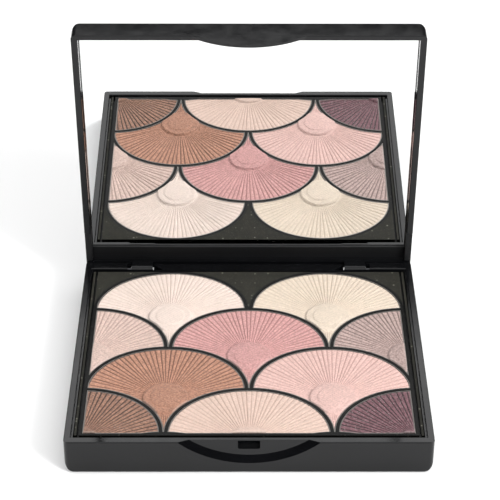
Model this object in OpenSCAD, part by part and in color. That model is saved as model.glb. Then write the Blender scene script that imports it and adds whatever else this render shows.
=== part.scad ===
// Eyeshadow palette: a hinged mirror compact with ten pressed powders laid out as fish scales.
// Frame: +X to the right, +Y to the hinge, +Z up; origin under the middle of the base.
// The lid is drawn closed on the base, then turned about the hinge axis to its open rest angle.

/* [Case] */
// Width of the closed case
case_w = 110; // [105:1:120]
// Depth of the closed case, front face to hinge face
case_d = 92.2; // [91.6:0.2:94]
// Height of the base, underside to rim
base_h = 12; // [11.6:0.1:13.5]
// Height of the lid, rim to outer face
lid_h = 8; // [7.4:0.1:10]
// Thickness of the side walls
wall = 2.1; // [2:0.1:2.3]
// Thickness of the base's front wall
front_wall = 2.4; // [2.3:0.1:2.5]
// Thickness of the lid's front wall
lid_front_wall = 1.8; // [1.5:0.1:2.3]
// Thickness of the base floor
floor_t = 1.5; // [1.2:0.1:2]
// Radius of the four upright corners
corner_r = 1.5; // [0.8:0.1:2.2]
// Radius of the long outer edges at the sides
side_edge_r = 4.2; // [1:0.1:4.4]
// Radius of the outer edges at the front and the hinge side
front_edge_r = 0.9; // [0.5:0.1:1.2]
// Radius of the outer edge of both rims
rim_edge_r = 0.3; // [0.1:0.05:0.4]
// Chamfer of the inner edge of both rims
rim_chamfer = 0.2; // [0.1:0.05:0.3]
// Gap between the two rims when the lid is shut
rim_gap = 0.15; // [0.1:0.05:0.3]

/* [Hinge] */
// Angle of the lid from shut, as it stands open
lid_angle = 86.9; // [60:0.1:100]
// Distance of the hinge axis below the base rim, and in from the hinge face
hinge_inset = 1.8; // [1.7:0.05:1.9]
// Radius of the steel hinge pins
pin_r = 0.6; // [0.5:0.05:0.7]
// Running clearance of the pins in the base, on the radius
pin_clear = 0.05; // [0.02:0.01:0.1]
// Radius of the lid's hinge knuckles
knuckle_r = 1.5; // [1.4:0.05:1.55]
// Inner end of each knuckle, from the middle
knuckle_in = 32.4; // [30:0.1:34]
// Outer end of each knuckle, from the middle
knuckle_out = 39.6; // [38:0.1:40.4]
// Inner end of the base's corner blocks, from the middle
block_in = 40.9; // [40.6:0.1:42]

/* [Mirror] */
// Depth of the mirror below the lid's rim
mirror_depth = 3.5; // [3:0.1:4]
// Thickness of the mirror glass
mirror_t = 1.4; // [0.8:0.1:1.5]
// Thickness of the adhesive sheet behind the mirror
tape_t = 0.4; // [0.1:0.05:0.5]

/* [Powder pattern] */
// Sideways spacing of the scales in one row
pitch = 51.1; // [50:0.1:51.4]
// Spacing of the rows, front to back
row_step = 20.5; // [20:0.05:20.6]
// Half width of a scale, to the middle of its rib
scale_rx = 24.8; // [24:0.1:25]
// Width of the ribs between the scales
rib = 0.9; // [0.7:0.05:1]
// Depth of the tray surface below the base rim
tray_drop = 0.25; // [0.2:0.05:1]
// Height of the tray
tray_h = 5.7; // [5.2:0.1:6]
// Thickness of the metal of the pans
pan_t = 0.25; // [0.2:0.05:0.4]
// Gap around each pan in its well
pan_gap = 0.1; // [0.05:0.05:0.15]

/* [Finger recess] */
// Half width of the recess at the base rim
recess_half = 21.3; // [18:0.1:24]
// Height of the recess
recess_h = 8.1; // [7:0.1:9]
// Depth of the recess into the front face
recess_d = 1.3; // [1.2:0.1:1.7]
// Width of the latch slot
slot_w = 6.6; // [5:0.1:8]

/* [Hidden] */
SCALES = ["ivory", "cream", "pale_pink", "rose", "taupe",
          "tan", "light_pink", "brown", "peach", "plum"];
$fn = 64;
eps = 0.01;
big = 400;

half_w = case_w / 2;
front_y = -case_d / 2;
back_y = case_d / 2;
hinge_y = back_y - hinge_inset;
hinge_z = base_h - hinge_inset;

// Base: the side walls have a small inner step; the rear wall has a notch for each knuckle
rear_wall_y = back_y - 3.8;
lip_t = 0.4;
step_w = 0.5;
step_z = 1;
middle_drop = 0.9;
lip_drop = 0.6;
notch_floor_z = hinge_z - 2.2;
notch_in = 31.4;
notch_splay = 2.5;
notch_back = hinge_y + 0.8;
knuckle_gap = 0.25;
support_rib = 1;
post_r = 1.4;

// Tray: it stands on the base's ribs, clear of the walls
tray_top = base_h - tray_drop;
tray_bottom = tray_top - tray_h;
tray_half_w = half_w - 3;
tray_front = front_y + 3.5;
tray_back = rear_wall_y - 1.6;
groove_out = half_w - 3.7;
groove_in = half_w - 4.4;
groove_d = 1.5;
well_floor = tray_bottom + 1.2;
window_half_w = groove_in - rib;
window_front = tray_front + rib;
window_back = tray_back - 0.5;
glue_t = 0.15;
glue_inset = 3;
pan_bottom = well_floor + glue_t;
pan_rim = tray_top - 0.1;
powder_top = tray_top - 0.15;
post_x = pitch / 2;
post_ys = [17.8, -22.2];

// Rows run from the hinge to the front; each scale is covered by the row in front of it
scale_ry = row_step;
first_top = tray_back - 0.15;
ROW = [0, 0, 1, 1, 1, 2, 2, 3, 3, 3];
COLUMN = [-0.5, 0.5, -1, 0, 1, -0.5, 0.5, -1, 0, 1];
SHADES = [[0.95, 0.88, 0.83], [0.93, 0.87, 0.78], [0.89, 0.79, 0.76], [0.82, 0.60, 0.60],
          [0.70, 0.61, 0.58], [0.70, 0.53, 0.45], [0.91, 0.73, 0.71], [0.53, 0.41, 0.38],
          [0.93, 0.84, 0.77], [0.44, 0.30, 0.34]];

// Lid, in its shut position
lid_z = base_h + rim_gap;
lid_top = lid_z + lid_h;
lid_hollow_back = hinge_y - 6.2;
lid_rear_chamfer = 1.4;
// Hinge end of the lid: its side walls stand clear of the base, and the bar between them is lower
relief_front = hinge_y - 13.8;
relief_d = 0.85;
bar_d = 2.8;
bar_back = hinge_y - 1.2;
ledge_chamfer = 0.2;
roof_z = lid_z + mirror_depth + mirror_t + tape_t;
mirror_z = lid_z + mirror_depth;
mirror_fit = 0.15;

// Finger recess: a cone whose axis stands above the rim
recess_r = (recess_half * recess_half + recess_h * recess_h) / (2 * recess_h);
recess_axis_z = base_h - recess_h + recess_r;
recess_slope = 2.2;
slot_top = base_h - 0.4;
slot_bottom = base_h - 3.6;
slot_r = 0.6;
slot_slope = tan(60);
slot_reach = 0.4;
cover_t = 0.5;
// Height of the slot's sloped ceiling at the wall's inner face
ceiling_z = slot_top + 0.1 - (front_wall - recess_d) * slot_slope;

// Lid tab: it lies in the recess when the lid is shut
tab_t = recess_d - 0.55;
tab_y = front_y + 0.1;
tab_r = recess_r - recess_slope - 0.3;
hook = 0.35;

// Rectangle with its own corner radii at the low and the high side of its second axis
module soft_rect(w, low, high, r_low, r_high) {
    for (side = [-1, 1]) {
        translate([side * (w / 2 - r_low), low + r_low]) circle(r = r_low);
        translate([side * (w / 2 - r_high), high - r_high]) circle(r = r_high);
    }
    translate([-w / 2 + r_low, low]) square([w - 2 * r_low, r_low + eps]);
    translate([-w / 2 + r_high, high - r_high - eps]) square([w - 2 * r_high, r_high + eps]);
    translate([-w / 2, low + r_low]) square([w, high - low - r_low - r_high]);
}

// Plan of the case: a rectangle with the upright corners rounded
module plan(inset, r) {
    soft_rect(case_w - 2 * inset, front_y + inset, back_y - inset, r, r);
}

// Block with rounded outer edges: round_low or round_high says which side is the outer face
module case_block(z0, z1, round_low, round_high) {
    side_low = round_low ? side_edge_r : rim_edge_r;
    side_high = round_high ? side_edge_r : rim_edge_r;
    end_low = round_low ? front_edge_r : rim_edge_r;
    end_high = round_high ? front_edge_r : rim_edge_r;
    intersection() {
        translate([0, 0, z0 - 1]) linear_extrude(z1 - z0 + 2) plan(0, corner_r);
        translate([0, back_y + 1, 0]) rotate([90, 0, 0]) linear_extrude(case_d + 2)
            soft_rect(case_w, z0, z1, side_low, side_high);
        translate([-half_w - 1, 0, 0]) rotate([90, 0, 90]) linear_extrude(case_w + 2)
            soft_rect(case_d, z0, z1, end_low, end_high);
    }
}

module box(x0, x1, y0, y1, z0, z1) {
    translate([x0, y0, z0]) cube([x1 - x0, y1 - y0, z1 - z0]);
}

// Section of a hollow between low and high: it opens at z_rim, where its edges are chamfered by c
module hollow_section(low, high, z_end, z_rim, c) {
    out = z_rim > z_end ? 1 : -1;
    polygon([[low, z_end], [low, z_rim - out * c], [low - c, z_rim], [low - c, z_rim + out],
             [high + c, z_rim + out], [high + c, z_rim], [high, z_rim - out * c],
             [high, z_end]]);
}

// Hollow of the case, from side wall to side wall, with chamfered rim edges
module hollow(y0, y1, z_end, z_rim) {
    half_x = half_w - wall;
    intersection() {
        translate([0, y1 + 1, 0]) rotate([90, 0, 0]) linear_extrude(y1 - y0 + 2)
            hollow_section(-half_x, half_x, z_end, z_rim, rim_chamfer);
        translate([-half_w, 0, 0]) rotate([90, 0, 90]) linear_extrude(case_w)
            hollow_section(y0, y1, z_end, z_rim, rim_chamfer);
    }
}

// Shaft or hole along X
module rod(r, x0, x1, y, z) {
    translate([x0, y, z]) rotate([0, 90, 0]) cylinder(r = r, h = x1 - x0);
}

// Ellipse outline from its own formula
module ellipse(x, y, rx, ry) {
    polygon([for (a = [0:4:356]) [x + rx * cos(a), y + ry * sin(a)]]);
}

// Outline of scale number k, drawn in by g from the middle of its ribs
module scale_outline(k, g) {
    x = COLUMN[k] * pitch;
    top = first_top - ROW[k] * row_step;
    cy = top - scale_ry;
    e = g - rib / 2;
    intersection() {
        difference() {
            ellipse(x, cy, scale_rx - g, scale_ry - g);
            for (side = [-1, 1])
                ellipse(x + side * pitch / 2, cy - row_step, scale_rx + g, scale_ry + g);
            ellipse(x, cy - 2 * row_step, scale_rx + g, scale_ry + g);
        }
        translate([-window_half_w + e, window_front + e])
            square([2 * (window_half_w - e), window_back - window_front - 2 * e]);
    }
}

// Body of scale k between two heights
module scale_body(k, g, z0, z1) {
    translate([0, 0, z0]) linear_extrude(z1 - z0) scale_outline(k, g);
}

// Recess in the front face: a shallow cone, cut off at the rim
module finger_recess() {
    translate([0, front_y - eps, recess_axis_z]) rotate([-90, 0, 0])
        cylinder(r1 = recess_r, r2 = recess_r - recess_slope, h = recess_d + eps, $fn = 180);
}

// Notch for one knuckle: open to the back behind the knuckle, and a closed pocket beside it
module hinge_notch(side) {
    mirror([side < 0 ? 1 : 0, 0, 0]) {
        box(knuckle_in - knuckle_gap, knuckle_out + knuckle_gap, rear_wall_y + lip_t, back_y + 1,
            notch_floor_z, base_h + 1);
        box(notch_in, block_in, rear_wall_y + lip_t, notch_back, notch_floor_z, base_h + 1);
        translate([0, 0, notch_floor_z]) linear_extrude(base_h)
            polygon([[notch_in + eps, notch_back], [notch_in + eps, rear_wall_y + lip_t],
                     [notch_in - notch_splay, rear_wall_y + lip_t], [notch_in, notch_back]]);
    }
}

// Prism across the front wall: its profile has y from the wall's inner face, and z
module across_front(half_x, profile) {
    translate([-half_x, front_y + front_wall, 0]) rotate([90, 0, 90])
        linear_extrude(2 * half_x) polygon(profile);
}

// Pocket for the latch hook, under a ceiling that slopes down to the inside
module latch_slot() {
    intersection() {
        translate([0, front_y + front_wall + 2 * slot_reach, 0]) rotate([90, 0, 0])
            linear_extrude(front_wall + 3 * slot_reach)
                soft_rect(slot_w, slot_bottom, slot_top, slot_r, slot_r / 3);
        across_front(slot_w, [[-front_wall - 1, slot_bottom - 1], [slot_reach, slot_bottom - 1],
                              [slot_reach, ceiling_z - slot_reach * slot_slope],
                              [-2, ceiling_z + 2 * slot_slope],
                              [-front_wall - 1, ceiling_z + 2 * slot_slope]]);
    }
}

// Cover that closes the latch slot from inside
module latch_cover() {
    top = ceiling_z + 2 * cover_t;
    reach = slot_reach + cover_t;
    across_front(slot_w / 2 + cover_t, [[-eps, slot_bottom - cover_t],
                                        [reach, slot_bottom - cover_t],
                                        [reach, top - reach * slot_slope], [-eps, top]]);
}

module base_shell() {
    color([0.13, 0.13, 0.15]) difference() {
        union() {
            difference() {
                case_block(0, base_h, true, false);
                hollow(front_y + front_wall, rear_wall_y, base_h - step_z, base_h);
                box(-half_w + wall + step_w, half_w - wall - step_w, front_y + front_wall,
                    rear_wall_y, floor_t, base_h);
            }
            // Ribs that carry the tray
            for (x = [-post_x, 0, post_x])
                box(x - support_rib / 2, x + support_rib / 2, front_y + front_wall - eps,
                    rear_wall_y + eps, floor_t - eps, tray_bottom);
            for (y = [-30, post_ys[1], 0, post_ys[0], 36])
                box(-half_w + wall - eps, half_w - wall + eps, y - support_rib / 2,
                    y + support_rib / 2, floor_t - eps, tray_bottom);
            // Posts that locate the tray
            for (x = [-post_x, post_x], y = post_ys)
                translate([x, y, floor_t - eps])
                    cylinder(r = post_r, h = well_floor - 0.1 - floor_t + eps);
            latch_cover();
        }
        finger_recess();
        latch_slot();
        // Hinge notches, pin bores and the low middle of the rear wall
        for (side = [-1, 1]) hinge_notch(side);
        box(-block_in, block_in, rear_wall_y - 1, rear_wall_y + lip_t + eps,
            base_h - lip_drop, base_h + 1);
        box(-knuckle_in + knuckle_gap, knuckle_in - knuckle_gap, rear_wall_y - 1, back_y + 1,
            base_h - middle_drop, base_h + 1);
        rod(pin_r + pin_clear, -half_w - 1, -block_in + 1, hinge_y, hinge_z);
        rod(pin_r + pin_clear, block_in - 1, half_w + 1, hinge_y, hinge_z);
    }
}

module pan_tray() {
    color([0.16, 0.16, 0.15]) difference() {
        box(-tray_half_w, tray_half_w, tray_front, tray_back, tray_bottom, tray_top);
        for (k = [0:len(SCALES) - 1]) scale_body(k, rib / 2, well_floor, tray_top + 1);
        // Groove along each side margin
        for (side = [-1, 1])
            translate([side * (groove_in + groove_out) / 2, 0, tray_top])
                cube([groove_out - groove_in, big, 2 * groove_d], center = true);
        for (x = [-post_x, post_x], y = post_ys)
            translate([x, y, tray_bottom - 1]) cylinder(r = post_r + 0.1, h = tray_h);
    }
}

module pan(k) {
    g = rib / 2 + pan_gap;
    color([0.75, 0.76, 0.78]) difference() {
        scale_body(k, g, pan_bottom, pan_rim);
        scale_body(k, g + pan_t, pan_bottom + pan_t, pan_rim + 1);
    }
}

module powder(k) {
    color(SHADES[k])
        scale_body(k, rib / 2 + pan_gap + pan_t, pan_bottom + pan_t, powder_top);
}

module pan_adhesive() {
    color([0.85, 0.82, 0.7]) for (k = [0:len(SCALES) - 1])
        difference() {
            scale_body(k, glue_inset, well_floor, pan_bottom);
            for (x = [-post_x, post_x], y = post_ys)
                translate([x, y, 0]) cylinder(r = post_r + 0.4, h = base_h);
        }
}

// Turns what is drawn shut about the hinge axis to the open rest angle
module opened() {
    translate([0, hinge_y, hinge_z]) rotate([-lid_angle, 0, 0])
        translate([0, -hinge_y, -hinge_z]) children();
}

module lid_tab() {
    intersection() {
        translate([0, tab_y, recess_axis_z]) rotate([-90, 0, 0])
            cylinder(r = tab_r, h = tab_t, $fn = 180);
        box(-half_w, half_w, tab_y, tab_y + tab_t, 0, lid_z + 1);
    }
    // Small hook that snaps into the latch slot
    translate([-slot_w / 2 + 0.4, tab_y + tab_t, slot_bottom + 1.3]) rotate([0, 90, 0])
        cylinder(r = hook, h = slot_w - 0.8);
}

module lid_knuckle(x0, x1) {
    rod(knuckle_r, x0, x1, hinge_y, hinge_z);
    box(x0, x1, hinge_y - knuckle_r, hinge_y + knuckle_r, hinge_z, lid_z + 2);
}

module lid_shell() {
    color([0.11, 0.11, 0.13]) opened() difference() {
        union() {
            difference() {
                case_block(lid_z, lid_top, false, true);
                hollow(front_y + lid_front_wall, lid_hollow_back, roof_z, lid_z);
                // Hinge end
                box(-half_w - 1, half_w + 1, relief_front, back_y + 1, lid_z - 1, lid_z + relief_d);
                box(-half_w + wall, half_w - wall, lid_hollow_back - 1, bar_back, lid_z - 1,
                    lid_z + bar_d);
                translate([0, lid_hollow_back, lid_z + bar_d]) rotate([45, 0, 0])
                    cube([2 * (half_w - wall), ledge_chamfer * sqrt(2), ledge_chamfer * sqrt(2)],
                         center = true);
                // Chamfer that lets the lid turn past upright
                translate([0, back_y, lid_z]) rotate([45, 0, 0])
                    cube([big, lid_rear_chamfer * sqrt(2), lid_rear_chamfer * sqrt(2)],
                         center = true);
            }
            lid_knuckle(knuckle_in, knuckle_out);
            lid_knuckle(-knuckle_out, -knuckle_in);
            lid_tab();
        }
        rod(pin_r, knuckle_in + 0.8, knuckle_out + 1, hinge_y, hinge_z);
        rod(pin_r, -knuckle_out - 1, -knuckle_in - 0.8, hinge_y, hinge_z);
    }
}

// Sheet that fills the lid's hollow, less a small gap all round
module lid_sheet(z0, z1, gap) {
    box(-half_w + wall + gap, half_w - wall - gap, front_y + lid_front_wall + gap,
        lid_hollow_back - gap, z0, z1);
}

module mirror_glass() {
    color([0.8, 0.85, 0.88]) opened() lid_sheet(mirror_z, roof_z - tape_t, mirror_fit);
}

module mirror_adhesive() {
    color([0.9, 0.9, 0.85]) opened() lid_sheet(roof_z - tape_t, roof_z, mirror_fit + 2);
}

module hinge_pin(side) {
    x0 = side < 0 ? -half_w + 0.6 : knuckle_in + 0.8;
    x1 = side < 0 ? -knuckle_in - 0.8 : half_w - 0.6;
    color([0.7, 0.7, 0.72]) opened() rod(pin_r, x0, x1, hinge_y, hinge_z);
}

base_shell();
pan_tray();
pan_adhesive();
lid_shell();
mirror_glass();
mirror_adhesive();
hinge_pin(-1);  // hinge_pin_left
hinge_pin(1);  // hinge_pin_right
for (k = [0:len(SCALES) - 1]) {
    pan(k);
    powder(k);
}
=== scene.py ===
"""Looks of an open eyeshadow palette: black moulded case, mirror lid, ten fluted powders."""

import math

import bpy
import numpy as np
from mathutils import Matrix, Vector


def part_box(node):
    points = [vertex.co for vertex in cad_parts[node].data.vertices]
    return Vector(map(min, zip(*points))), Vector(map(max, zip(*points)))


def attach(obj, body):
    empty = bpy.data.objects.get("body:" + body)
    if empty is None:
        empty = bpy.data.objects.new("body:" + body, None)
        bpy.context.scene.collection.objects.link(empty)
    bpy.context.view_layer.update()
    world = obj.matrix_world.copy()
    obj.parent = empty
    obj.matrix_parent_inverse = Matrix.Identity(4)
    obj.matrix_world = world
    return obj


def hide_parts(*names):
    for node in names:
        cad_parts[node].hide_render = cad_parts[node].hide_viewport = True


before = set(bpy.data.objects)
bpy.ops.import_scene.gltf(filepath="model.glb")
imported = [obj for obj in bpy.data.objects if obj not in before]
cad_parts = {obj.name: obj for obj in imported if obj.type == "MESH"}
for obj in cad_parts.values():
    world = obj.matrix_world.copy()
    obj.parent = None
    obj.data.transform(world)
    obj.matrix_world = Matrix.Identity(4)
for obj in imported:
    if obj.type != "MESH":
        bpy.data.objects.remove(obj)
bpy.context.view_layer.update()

MM = 0.001
SEED = 11

# Camera
LENS = 123.5
CAMERA_AT = (-1.24, -428.8, 347.9)           # mm
CAMERA_TURN = (55.133, -0.113, -0.128)       # degrees

# Each shade: row from the hinge, column in pitches, ridge colour (sRGB), contrast (strength of the
# painted shade in the grooves, also of the grain and the boss's tone), shimmer
SHADES = {
    "ivory": (0, -0.5, (250, 230, 218), 0.09, 0.25),
    "cream": (0, 0.5, (246, 228, 208), 0.14, 0.30),
    "pale_pink": (1, -1, (229, 200, 188), 0.34, 0.25),
    "rose": (1, 0, (227, 171, 167), 0.42, 0.20),
    "taupe": (1, 1, (202, 175, 168), 0.60, 0.45),
    "tan": (2, -0.5, (197, 144, 119), 0.62, 0.20),
    "light_pink": (2, 0.5, (241, 201, 192), 0.26, 0.20),
    "brown": (3, -1, (162, 121, 101), 0.85, 0.45),
    "peach": (3, 0, (235, 206, 191), 0.17, 0.35),
    "plum": (3, 1, (126, 88, 95), 0.85, 0.85),
}

# Share of a shade's colour that its pigment reflects under the studio's light
PIGMENT = 0.715

# Powder texture
CLOUD_SIZE = 2.2 * MM        # slow drifts of the pigment
CRUMB_SIZE = 0.6 * MM        # press grain
PRESS_RELIEF = 0.05 * MM     # height of the grain and of the press cloth's print
MICA_SIZE = 0.55 * MM
WEAVE_PITCH = 0.78 * MM      # of the press cloth
WEAVE_TURNS = (38, -52)      # degrees
WAVE_PERIOD = 0.314          # period of a wave texture at scale 1

# Powder relief
POWDER_INSET = 0.8 * MM      # from the middle of a rib to the powder
RAY_DROP = 4.6 * MM          # the rays meet this far in front of a scale's own centre
RAYS = 90                    # grooves in a full turn
GROOVE_DEPTH = 0.16 * MM
BOSS_RADIUS = 7.2 * MM
BOSS_HEIGHT = 0.95 * MM
BOSS_SHOULDER = 0.5 * MM
BOSS_FOOT = 0.9 * MM         # over which the grooves start, outside the boss
EDGE_WIDTH = 0.35 * MM
EDGE_DROP = 0.16 * MM
GROOVE_HALF = 0.19           # half a groove's width, in steps between grooves
LINES = (0, 0.08, 0.17, 0.32, 0.5, 0.68, 0.83, 0.92)     # mesh lines from groove to groove
BOSS_RINGS = (0.12, 0.25, 0.38, 0.5, 0.58, 0.61, 0.635, 0.66, 0.70,
              0.78, 0.83, 0.87, 0.91, 0.95, 1.0, 1.05, 1.12)      # in boss radii
RING_STEP = 0.75 * MM        # between the mesh rings outside the boss

# Dull end of the lid beside the hinge
DULL_HEIGHT = 12.1 * MM      # above the base's rim
DULL_SIDE = 0.2 * MM         # past the mirror's sides
POLISHED_BACK = 3.8 * MM     # this much of the lid's thickness stays polished

# Tray
DUST_GAP = 1.3 * MM          # a dusty corner starts this far outside a scale
DUST_MARGIN = 0.8 * MM       # width of the dusty strip at each side

# Studio, in metres and watts: each lamp's place, aim, size and power
LAMPS = {
    "overhead": ((0, -0.05, 1.0), (0, -0.05, 0), (2.6, 1.8), 20),
    "front_strip": ((0, -1.275, 1.0), (0, -1.275, 0), (2.6, 0.65), 13.5),
    "back_strip": ((0, 1.09, 1.0), (0, 1.09, 0), (2.6, 0.48), 9.5),
    "key": ((0.75, -0.62, 0.62), (0, 0, 0), (0.35, 0.35), 11),
}
WORLD_FRONT, WORLD_BACK = 0.12, 1.5          # strength of the surroundings
FLOOR_SIZE = 8


# ---------------------------------------------------------------- node helpers

def linear(rgb):
    """Scene-linear colour of an sRGB triple from 0 to 255."""
    c = np.array(rgb, float) / 255
    low = c / 12.92
    high = ((c + 0.055) / 1.055) ** 2.4
    return (*np.where(c <= 0.04045, low, high), 1.0)


def node(tree, kind, inputs=None, **settings):
    """A shader node. Its inputs are given by name or number, as a value or as another socket."""
    made = tree.nodes.new(kind)
    for key, value in settings.items():
        setattr(made, key, value)
    for key, value in (inputs or {}).items():
        if isinstance(value, bpy.types.NodeSocket):
            tree.links.new(value, made.inputs[key])
        else:
            made.inputs[key].default_value = value
    return made


def material(name, **constants):
    """A new material: its tree, its shader and the piece's own coordinates in metres."""
    made = bpy.data.materials.new(name)
    made.use_nodes = True
    tree = made.node_tree
    shader = tree.nodes["Principled BSDF"]
    for key, value in constants.items():
        shader.inputs[key.replace("_", " ")].default_value = value
    where = tree.nodes.new("ShaderNodeTexCoord").outputs["Object"]
    return made, tree, shader, where


def noise(tree, where, size, detail=3.0, rough=0.5):
    """Soft noise with features about size metres across."""
    return node(tree, "ShaderNodeTexNoise", {"Vector": where, "Scale": 1 / size,
                "Detail": detail, "Roughness": rough}).outputs["Fac"]


def spread(tree, value, low, high, to_low=0.0, to_high=1.0):
    """value from low..high, stretched to to_low..to_high and held there."""
    return node(tree, "ShaderNodeMapRange", {"Value": value, "From Min": low, "From Max": high,
                "To Min": to_low, "To Max": to_high}).outputs["Result"]


def maths(tree, operation, a, b=0.0):
    """The result of a Math node."""
    return node(tree, "ShaderNodeMath", {0: a, 1: b}, operation=operation).outputs[0]


def mixed(tree, share, a, b, blend="MIX"):
    """Colour a turning to b, or blended with b, as share goes from 0 to 1."""
    return node(tree, "ShaderNodeMix", {0: share, 6: a, 7: b},
                data_type="RGBA", blend_type=blend).outputs[2]


def bumped(tree, height, distance, strength=1.0, normal=None):
    """A normal bent by height, where 0..1 is distance metres, over an earlier normal if given."""
    inputs = {"Height": height, "Distance": distance, "Strength": strength}
    if normal is not None:
        inputs["Normal"] = normal
    return node(tree, "ShaderNodeBump", inputs).outputs["Normal"]


def specks(tree, where, size, share):
    """Small separate dots, each cell of the given size holding one with the given chance."""
    cells = node(tree, "ShaderNodeTexVoronoi", {"Vector": where, "Scale": 1 / size})
    chance = node(tree, "ShaderNodeSeparateColor", {0: cells.outputs["Color"]}).outputs[0]
    chosen = maths(tree, "GREATER_THAN", chance, 1 - share)
    near = spread(tree, cells.outputs["Distance"], 0.35, 0.15)
    return maths(tree, "MULTIPLY", chosen, near)


# ------------------------------------------------------------------- materials

def case_plastic():
    """Polished black moulding with faint handling marks, dull on the lid's hinge end."""
    made, tree, shader, where = material("case_black", Specular_IOR_Level=0.5, IOR=1.39)
    cloud = noise(tree, where, 14 * MM, 4)
    tree.links.new(mixed(tree, spread(tree, cloud, 0.35, 0.65), (0.0026, 0.0027, 0.0032, 1),
                         (0.0038, 0.0040, 0.0047, 1)), shader.inputs["Base Color"])
    smudge = noise(tree, where, 5 * MM, 5, 0.6)
    polish = spread(tree, smudge, 0.3, 0.7, 0.07, 0.14)
    place = node(tree, "ShaderNodeSeparateXYZ", {0: where})
    faces = node(tree, "ShaderNodeSeparateXYZ",
                 {0: tree.nodes.new("ShaderNodeTexCoord").outputs["Normal"]}).outputs["Y"]
    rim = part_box("base_shell")[1].z
    height = place.outputs["Z"]
    band = maths(tree, "MULTIPLY",
                 spread(tree, height, rim + 0.02 * MM, rim + 0.05 * MM),
                 spread(tree, height, rim + DULL_HEIGHT + 0.04 * MM, rim + DULL_HEIGHT - 0.04 * MM))
    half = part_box("mirror_glass")[1].x + DULL_SIDE
    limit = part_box("lid_shell")[1].y - POLISHED_BACK
    inside = maths(tree, "MULTIPLY",
                   maths(tree, "LESS_THAN", maths(tree, "ABSOLUTE", place.outputs["X"]), half),
                   maths(tree, "LESS_THAN", place.outputs["Y"], limit))
    forward = maths(tree, "LESS_THAN", faces, -0.9)
    hinge_end = maths(tree, "MULTIPLY", band, maths(tree, "MAXIMUM", forward, inside))
    dull = spread(tree, smudge, 0.3, 0.7, 0.50, 0.58)
    tree.links.new(node(tree, "ShaderNodeMix", {0: hinge_end, 2: polish, 3: dull},
                        data_type="FLOAT").outputs[0], shader.inputs["Roughness"])
    grain = noise(tree, where, 0.12 * MM, 2)
    tree.links.new(bumped(tree, grain, 0.002 * MM, 0.4), shader.inputs["Normal"])
    return made


def tray_plastic(back_scales):
    """Black tray: flat margins and back corners hold pale powder dust, ribs stay black."""
    made, tree, shader, where = material("tray_black", Specular_IOR_Level=0.12, IOR=1.5)
    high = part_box("pan_tray")[1]
    place = node(tree, "ShaderNodeSeparateXYZ", {0: where})
    side = maths(tree, "ABSOLUTE", place.outputs["X"])
    behind = None
    for scale in back_scales:
        shift = node(tree, "ShaderNodeVectorMath", {0: where, 1: (scale["x"], scale["y"], 0)},
                     operation="SUBTRACT").outputs[0]
        size = (scale["rx"] + DUST_GAP, scale["ry"] + DUST_GAP, 1e3)
        unit = node(tree, "ShaderNodeVectorMath", {0: shift, 1: size}, operation="DIVIDE").outputs[0]
        reach = node(tree, "ShaderNodeVectorMath", {0: unit}, operation="LENGTH").outputs["Value"]
        past = spread(tree, reach, 0.99, 1.02)
        behind = past if behind is None else maths(tree, "MULTIPLY", behind, past)
    first = back_scales[0]["y"]
    behind = maths(tree, "MULTIPLY", behind,
                   spread(tree, place.outputs["Y"], first + 1 * MM, first + 3 * MM))
    inner = high.x - DUST_MARGIN
    margin = spread(tree, side, inner - 0.1 * MM, inner + 0.1 * MM, 0, 0.7)
    upward = node(tree, "ShaderNodeSeparateXYZ",
                  {0: node(tree, "ShaderNodeNewGeometry").outputs["Normal"]}).outputs["Z"]
    flat = maths(tree, "MULTIPLY", spread(tree, upward, 0.8, 0.98),
                 spread(tree, place.outputs["Z"], high.z - 0.4 * MM, high.z - 0.2 * MM))
    film = spread(tree, noise(tree, where, 2.2 * MM, 6, 0.72), 0.32, 0.68, 0.5, 1.0)
    bare = maths(tree, "MULTIPLY", maths(tree, "MAXIMUM", behind, margin), flat)
    dusty = maths(tree, "MULTIPLY", bare, film)
    body = mixed(tree, dusty, (0.0030, 0.0030, 0.0028, 1), (0.028, 0.027, 0.021, 1))
    fine = specks(tree, where, 0.33 * MM, 0.30)
    large = specks(tree, where, 1.1 * MM, 0.10)
    glitter = maths(tree, "MAXIMUM", maths(tree, "MULTIPLY", fine, 0.35), large)
    sparkle = maths(tree, "MULTIPLY", glitter, spread(tree, bare, 0.0, 1.0, 0.05, 0.50))
    tree.links.new(mixed(tree, sparkle, body, (0.34, 0.33, 0.27, 1)), shader.inputs["Base Color"])
    tree.links.new(spread(tree, dusty, 0, 1, 0.25, 0.65), shader.inputs["Roughness"])
    grain = noise(tree, where, 0.2 * MM, 3)
    tree.links.new(bumped(tree, grain, 0.01 * MM, 0.6), shader.inputs["Normal"])
    return made


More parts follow.
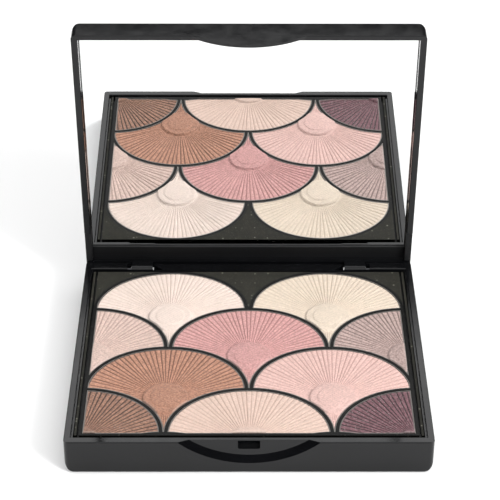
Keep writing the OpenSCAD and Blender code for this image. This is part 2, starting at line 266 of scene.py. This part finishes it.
def powder_finish(shade):
    """Pressed powder: mottled pigment, painted shade in the grooves, a painted highlight along its
    edge, woven press grain and mica flecks.
    """
    _, _, colour, contrast, shimmer = SHADES[shade]
    made, tree, shader, where = material("powder_" + shade, Specular_IOR_Level=0.25,
                                         Sheen_Weight=0.10, Sheen_Roughness=0.6)
    ridge = np.array(linear(colour)[:3]) * PIGMENT
    # Colour of the painted shade in the grooves
    groove_shade_colour = ridge ** 1.12 * (1 - contrast)
    # Pale of the mica flecks, also used for the painted highlight along the edge
    mica_and_edge_highlight = ridge * 0.6 + 0.4 * PIGMENT * np.array((0.98, 0.94, 0.90))
    groove = node(tree, "ShaderNodeAttribute", attribute_name="groove").outputs["Fac"]
    edge = node(tree, "ShaderNodeAttribute", attribute_name="edge").outputs["Fac"]
    boss = node(tree, "ShaderNodeAttribute", attribute_name="boss").outputs["Fac"]
    cloud = spread(tree, noise(tree, where, CLOUD_SIZE, 5, 0.6), 0.3, 0.7)
    body = mixed(tree, cloud, (*ridge * 0.955, 1), (*np.minimum(ridge * 1.035, 1), 1))
    crumb = noise(tree, where, CRUMB_SIZE, 2, 0.6)
    uneven = 0.02 + 0.42 * contrast
    speckle = spread(tree, crumb, 0.36, 0.64, 1 - uneven, 1 + uneven)
    body = mixed(tree, 1.0, body, speckle, "MULTIPLY")
    body = mixed(tree, boss, body, (*[1 - 0.26 * contrast] * 3, 1), "MULTIPLY")
    # Painted shade: the grooves are darkened towards that colour
    groove_shade_share = spread(tree, groove, 0.0, 1 - 0.45 * contrast)
    body = mixed(tree, groove_shade_share, body, (*groove_shade_colour, 1))
    # Painted highlight: the powder is paled along its edge
    body = mixed(tree, maths(tree, "MULTIPLY", edge, 0.45), body, (*mica_and_edge_highlight, 1))
    mica = specks(tree, where, MICA_SIZE, 0.14 + 0.3 * shimmer)
    bright = maths(tree, "MULTIPLY", mica, 0.20 + 0.55 * shimmer)
    tree.links.new(mixed(tree, bright, body, (*mica_and_edge_highlight, 1)), shader.inputs["Base Color"])
    tree.links.new(spread(tree, mica, 0, 1, 0.66, 0.66 - 0.4 * shimmer), shader.inputs["Roughness"])
    weave = None
    for turn in WEAVE_TURNS:
        turned = node(tree, "ShaderNodeMapping", {"Vector": where,
                      "Rotation": (0, 0, math.radians(turn))}).outputs[0]
        band = node(tree, "ShaderNodeTexWave", {"Vector": turned, "Scale": WAVE_PERIOD / WEAVE_PITCH,
                    "Distortion": 1.2, "Detail": 2.0, "Detail Scale": 1.5}).outputs["Fac"]
        weave = band if weave is None else maths(tree, "ADD", weave, band)
    pressed = bumped(tree, weave, PRESS_RELIEF)
    tree.links.new(bumped(tree, crumb, PRESS_RELIEF, 0.9, pressed), shader.inputs["Normal"])
    return made


def pan_metal():
    """Stamped tinplate, dulled by powder, with faint lines round its sides; its colour is darkened as
    painted shade.
    """
    made, tree, shader, where = material("pan_metal", Metallic=1.0)
    drawn = node(tree, "ShaderNodeMapping", {"Vector": where, "Scale": (1, 1, 12)}).outputs[0]
    streak = noise(tree, drawn, 0.8 * MM, 4)
    # Painted shade: the tinplate's colour is set dark, as of tin in shade
    tree.links.new(mixed(tree, streak, (0.17, 0.16, 0.15, 1), (0.27, 0.255, 0.24, 1)),
                   shader.inputs["Base Color"])
    tree.links.new(spread(tree, streak, 0.3, 0.7, 0.35, 0.50), shader.inputs["Roughness"])
    return made


def pin_steel():
    """Blackened wire, drawn along its length."""
    made, tree, shader, where = material("pin_steel", Metallic=1.0)
    drawn = node(tree, "ShaderNodeMapping", {"Vector": where, "Scale": (0.1, 1, 1)}).outputs[0]
    streak = noise(tree, drawn, 0.15 * MM, 3)
    tree.links.new(mixed(tree, streak, (0.05, 0.05, 0.055, 1), (0.09, 0.09, 0.095, 1)),
                   shader.inputs["Base Color"])
    tree.links.new(spread(tree, streak, 0.3, 0.7, 0.2, 0.36), shader.inputs["Roughness"])
    return made


def mirror_silver():
    """Silvered glass, wiped clean but for a very faint haze."""
    made, tree, shader, where = material("mirror", Metallic=1.0)
    haze = noise(tree, where, 11 * MM, 4)
    tree.links.new(mixed(tree, spread(tree, haze, 0.3, 0.7), (0.93, 0.94, 0.94, 1),
                         (0.965, 0.97, 0.97, 1)), shader.inputs["Base Color"])
    tree.links.new(spread(tree, haze, 0.45, 0.8, 0.006, 0.02), shader.inputs["Roughness"])
    return made


def soft_layer(name, dark, light, size):
    """Glue or foam sheet: a mottled, dull surface."""
    made, tree, shader, where = material(name, Specular_IOR_Level=0.2)
    cell = noise(tree, where, size, 4)
    tree.links.new(mixed(tree, cell, (*dark, 1), (*light, 1)), shader.inputs["Base Color"])
    shader.inputs["Roughness"].default_value = 0.85
    tree.links.new(bumped(tree, cell, 0.03 * MM, 0.6), shader.inputs["Normal"])
    return made


def floor_finish():
    """Matt white board with a very faint drift in tone."""
    made, tree, shader, where = material("floor_white", Specular_IOR_Level=0.1)
    tone = noise(tree, where, 0.5, 2)
    tree.links.new(mixed(tree, tone, (0.91, 0.91, 0.91, 1), (0.93, 0.93, 0.93, 1)),
                   shader.inputs["Base Color"])
    shader.inputs["Roughness"].default_value = 0.9
    return made


# ---------------------------------------------------------------- powder cakes

def ellipse_depth(x0, y0, rx, ry, sign):
    """How far a point lies inside (sign 1) or outside (sign -1) an ellipse, to first order."""
    def depth(x, y):
        u, v = (x - x0) / rx, (y - y0) / ry
        q = np.maximum(np.hypot(u, v), 0.05)
        return sign * (1 - q) * q / np.maximum(np.hypot(u / rx, v / ry), 1e-9)
    return depth


def line_depth(axis, limit, sign):
    """How far a point lies past a straight limit, along sign times the axis."""
    def depth(x, y):
        return sign * ((x, y)[axis] - limit)
    return depth


def layout():
    """Where each scale's own ellipse is, and its semi-axes, read from the CAD powders."""
    ivory, cream, rose = (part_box("powder_" + s) for s in ("ivory", "cream", "rose"))
    pitch = (cream[0].x + cream[1].x - ivory[0].x - ivory[1].x) / 2
    row_step = ivory[1].y - rose[1].y
    rx = (rose[1].x - rose[0].x) / 2
    ry = row_step - POWDER_INSET
    first_y = ivory[1].y - ry
    return {shade: {"x": column * pitch, "y": first_y - row * row_step, "rx": rx, "ry": ry,
                    "pitch": pitch, "row_step": row_step}
            for shade, (row, column, *_) in SHADES.items()}


def outline(scale, window):
    """The limits of one powder: its ellipse, less the scales in front, within the tray window."""
    x, y, pitch, step = (scale[k] for k in ("x", "y", "pitch", "row_step"))
    grown = scale["rx"] + 2 * POWDER_INSET, scale["ry"] + 2 * POWDER_INSET
    low, high = window
    return [ellipse_depth(x, y, scale["rx"], scale["ry"], 1),
            ellipse_depth(x - pitch / 2, y - step, *grown, -1),
            ellipse_depth(x + pitch / 2, y - step, *grown, -1),
            ellipse_depth(x, y - 2 * step, *grown, -1),
            line_depth(0, low[0], 1), line_depth(0, high[0], -1), line_depth(1, low[1], 1)]


def cut(points, faces, depth, level=0.0, keep_low=False):
    """Splits the faces where depth equals level, and drops what lies below it unless keep_low."""
    low = depth(points[:, 0], points[:, 1]) < level
    crossed = sorted({(min(a, b), max(a, b)) for f in faces
                      for a, b in zip(f, f[1:] + f[:1]) if low[a] != low[b]})
    if not crossed:
        return points, [f for f in faces if keep_low or not low[f[0]]]
    ends = np.array(crossed)
    inner = np.where(low[ends[:, :1]], points[ends[:, 1]], points[ends[:, 0]])
    outer = np.where(low[ends[:, :1]], points[ends[:, 0]], points[ends[:, 1]])
    for _ in range(24):
        middle = (inner + outer) / 2
        below = (depth(middle[:, 0], middle[:, 1]) < level)[:, None]
        outer, inner = np.where(below, middle, outer), np.where(below, inner, middle)
    number = {edge: len(points) + i for i, edge in enumerate(crossed)}
    kept = []
    for f in faces:
        sides = {False: [], True: []}
        for a, b in zip(f, f[1:] + f[:1]):
            sides[bool(low[a])].append(a)
            if low[a] != low[b]:
                new = number[min(a, b), max(a, b)]
                sides[False].append(new)
                sides[True].append(new)
        kept += [sides[s] for s in ((False, True) if keep_low else (False,)) if len(sides[s]) > 2]
    return np.vstack([points, inner]), kept


def smooth_step(t):
    """Eased rise from 0 to 1, held outside that span."""
    t = np.clip(t, 0, 1)
    return t * t * (3 - 2 * t)


def spokes(rng):
    """Angles of the groove lines, slightly uneven, and of the mesh lines between them."""
    step = math.tau / RAYS
    grooves = (np.arange(RAYS) + rng.uniform(-0.10, 0.10, RAYS)) * step
    gaps = np.diff(np.append(grooves, grooves[0] + math.tau))
    lines = grooves[:, None] + gaps[:, None] * np.array(LINES)
    return grooves, lines.ravel()


def polar_grid(lines, radii):
    """Points and faces of a disc about the origin, with one spoke for each line."""
    n = len(lines)
    ring = np.stack([np.cos(lines), np.sin(lines)], 1)
    points = np.vstack([[[0.0, 0.0]], (radii[:, None, None] * ring).reshape(-1, 2)])
    i = np.arange(n)
    j = (i + 1) % n
    fan = np.stack([np.zeros(n, int), 1 + i, 1 + j], 1).tolist()
    quads = [np.stack([1 + k * n + i, 1 + (k + 1) * n + i, 1 + (k + 1) * n + j, 1 + k * n + j], 1)
             for k in range(len(radii) - 1)]
    return points, fan, np.concatenate(quads)


def boss_height(r):
    """Plain round boss: a low dome with a soft shoulder and one fine step near its rim."""
    rise = smooth_step((BOSS_RADIUS - r) / BOSS_SHOULDER)
    dome = np.clip(1 - (r / BOSS_RADIUS) ** 2, 0, 1)
    step = smooth_step((BOSS_RADIUS * 0.66 - r) / (0.35 * MM))
    return BOSS_HEIGHT * (0.62 * rise + 0.18 * dome + 0.20 * step)


def boundary_loop(faces):
    """The border of a sheet of faces, as one ordered ring of vertices."""
    sides = {}
    for f in faces:
        for a, b in zip(f, f[1:] + f[:1]):
            sides[a, b] = True
    following = {a: b for a, b in sides if (b, a) not in sides}
    rings = []
    while following:
        start, b = following.popitem()
        ring = [start]
        while b != start:
            ring.append(b)
            b = following.pop(b)
        rings.append(ring)
    return max(rings, key=len)


def largest_sheet(faces):
    """The faces that hang together with the greatest number of others."""
    parent = {}

    def root(a):
        while parent.setdefault(a, a) != a:
            parent[a] = parent[parent[a]]
            a = parent[a]
        return a

    for f in faces:
        for a in f[1:]:
            parent[root(a)] = root(f[0])
    groups = {}
    for f in faces:
        groups.setdefault(root(f[0]), []).append(f)
    return max(groups.values(), key=len)


def cake_plan(scale, limits, depth, centre, lines):
    """The cake's top seen from above: a polar grid cut to the outline, with lines along its edge."""
    outer = np.arange(BOSS_RADIUS * 1.2, 2 * scale["rx"], RING_STEP)
    points, fan, quads = polar_grid(lines, np.concatenate([BOSS_RADIUS * np.array(BOSS_RINGS), outer]))
    points = points + centre
    near = depth(points[:, 0], points[:, 1]) > -2 * MM
    faces = fan + quads[near[quads].any(1)].tolist()
    for limit in limits:
        points, faces = cut(points, faces, limit)
    for share in (0.2, 0.5, 1.0):
        points, faces = cut(points, faces, depth, share * EDGE_WIDTH, True)
    faces = largest_sheet(faces)
    used = np.unique(np.concatenate([np.array(f) for f in faces]))
    renumber = {old: new for new, old in enumerate(used)}
    return points[used], [[renumber[a] for a in f] for f in faces]


def relief(away, inward, grooves, strength):
    """Height of the top over its flat level, and how much each point is groove, edge and boss."""
    r = np.hypot(away[:, 0], away[:, 1])
    angle = np.arctan2(away[:, 1], away[:, 0])
    turned = (angle[:, None] - grooves[None, :] + math.pi) % math.tau - math.pi
    closest = np.abs(turned).argmin(1)
    off = np.abs(turned[np.arange(len(r)), closest]) / (math.tau / RAYS)
    edge = 1 - np.clip(inward / EDGE_WIDTH, 0, 1)
    boss = 1 - smooth_step((r - BOSS_RADIUS) / BOSS_FOOT)
    groove = np.clip(1 - off / GROOVE_HALF, 0, 1) * (1 - boss)
    groove *= strength[closest] * (1 - 0.8 * edge)
    ridge = 0.25 * (1 - np.clip(off / 0.5, 0, 1)) ** 2 * smooth_step((r - BOSS_RADIUS) / (2 * MM))
    height = boss_height(r) - GROOVE_DEPTH * (groove + ridge) - EDGE_DROP * edge ** 2
    return height, {"groove": groove, "edge": edge, "boss": boss}


def powder_cake(shade, scale, window, rng):
    """One pressed powder: fluted top, boss, rounded edge, and sides down to its pan."""
    limits = outline(scale, window)

    def depth(x, y):
        return np.min([limit(x, y) for limit in limits], 0)

    grooves, lines = spokes(rng)
    strength = rng.uniform(0.75, 1.15, RAYS)
    centre = np.array([scale["x"], scale["y"] - RAY_DROP])
    points, faces = cake_plan(scale, limits, depth, centre, lines)
    height, shares = relief(points - centre, depth(points[:, 0], points[:, 1]), grooves, strength)

    low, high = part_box("powder_" + shade)
    ring = boundary_loop(faces)
    under = {a: len(points) + i for i, a in enumerate(ring)}
    sides = [[b, a, under[a], under[b]] for a, b in zip(ring, ring[1:] + ring[:1])]
    bottom = [[under[a] for a in reversed(ring)]]
    top_points = np.column_stack([points, high.z + height])
    low_points = np.column_stack([points[ring], np.full(len(ring), low.z)])
    mesh = bpy.data.meshes.new("cake_" + shade)
    mesh.from_pydata(np.vstack([top_points, low_points]).tolist(), [], faces + sides + bottom)
    for name, values in shares.items():
        layer = mesh.attributes.new(name, "FLOAT", "POINT")
        layer.data.foreach_set("value", np.append(values, np.zeros(len(ring))).astype(np.float32))
    mesh.shade_smooth()
    mesh.set_sharp_from_angle(angle=math.radians(50))
    mesh.materials.append(powder_finish(shade))
    cake = bpy.data.objects.new("cake_" + shade, mesh)
    bpy.context.scene.collection.objects.link(cake)
    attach(cake, "base")
    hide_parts("powder_" + shade)


# ------------------------------------------------------------------- CAD nodes

def paint(name, finish):
    """Gives a CAD node its finish."""
    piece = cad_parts[name]
    if not piece.material_slots:
        piece.data.materials.append(None)
    for slot in piece.material_slots:
        slot.link = "OBJECT"
        slot.material = finish


# ---------------------------------------------------------------------- studio

def softbox(name, at, aim, size, power):
    """A rectangular lamp that the camera doesn't see."""
    data = bpy.data.lights.new(name, "AREA")
    data.shape = "RECTANGLE"
    data.size, data.size_y = size
    data.energy = power
    lamp = bpy.data.objects.new(name, data)
    lamp.location = at
    lamp.rotation_euler = (Vector(aim) - Vector(at)).to_track_quat("-Z", "Y").to_euler()
    lamp.visible_camera = False
    bpy.context.scene.collection.objects.link(lamp)


def studio():
    """Pale floor, broad soft light from above, a small key from the right, and a brighter rear."""
    bpy.ops.mesh.primitive_plane_add(size=FLOOR_SIZE)
    floor = bpy.context.object
    floor.name = "floor"
    floor.data.materials.append(floor_finish())
    world = bpy.data.worlds.new("studio")
    bpy.context.scene.world = world
    world.use_nodes = True
    tree = world.node_tree
    way = tree.nodes.new("ShaderNodeTexCoord").outputs["Generated"]
    toward_back = node(tree, "ShaderNodeSeparateXYZ", {0: way}).outputs["Y"]
    tree.links.new(spread(tree, toward_back, -0.4, 0.7, WORLD_FRONT, WORLD_BACK),
                   tree.nodes["Background"].inputs["Strength"])
    for name, lamp in LAMPS.items():
        softbox(name, *lamp)


def camera():
    """A long lens, looking down at the open palette from the front."""
    data = bpy.data.cameras.new("camera")
    data.sensor_width = 36
    data.lens = LENS
    made = bpy.data.objects.new("camera", data)
    made.location = Vector(CAMERA_AT) * MM
    made.rotation_euler = [math.radians(a) for a in CAMERA_TURN]
    bpy.context.scene.collection.objects.link(made)
    bpy.context.scene.camera = made


camera()
studio()
bpy.context.scene.view_settings.view_transform = "Standard"

scales = layout()
boxes = [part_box("powder_" + shade) for shade in SHADES]
window = ([min(low[a] for low, _ in boxes) for a in (0, 1)],
          [max(high[a] for _, high in boxes) for a in (0, 1)])
rng = np.random.default_rng(SEED)
for shade, scale in scales.items():
    powder_cake(shade, scale, window, rng)

case = case_plastic()
for name in ("base_shell", "lid_shell"):
    paint(name, case)
paint("pan_tray", tray_plastic([scales["ivory"], scales["cream"]]))
shaded_metal = pan_metal()
for shade in SHADES:
    paint("pan_" + shade, shaded_metal)
steel = pin_steel()
for side in ("left", "right"):
    paint("hinge_pin_" + side, steel)
paint("mirror_glass", mirror_silver())
paint("pan_adhesive", soft_layer("adhesive", (0.55, 0.50, 0.36), (0.72, 0.67, 0.50), 1.5 * MM))
paint("mirror_adhesive", soft_layer("tape", (0.72, 0.72, 0.68), (0.84, 0.84, 0.80), 0.6 * MM))
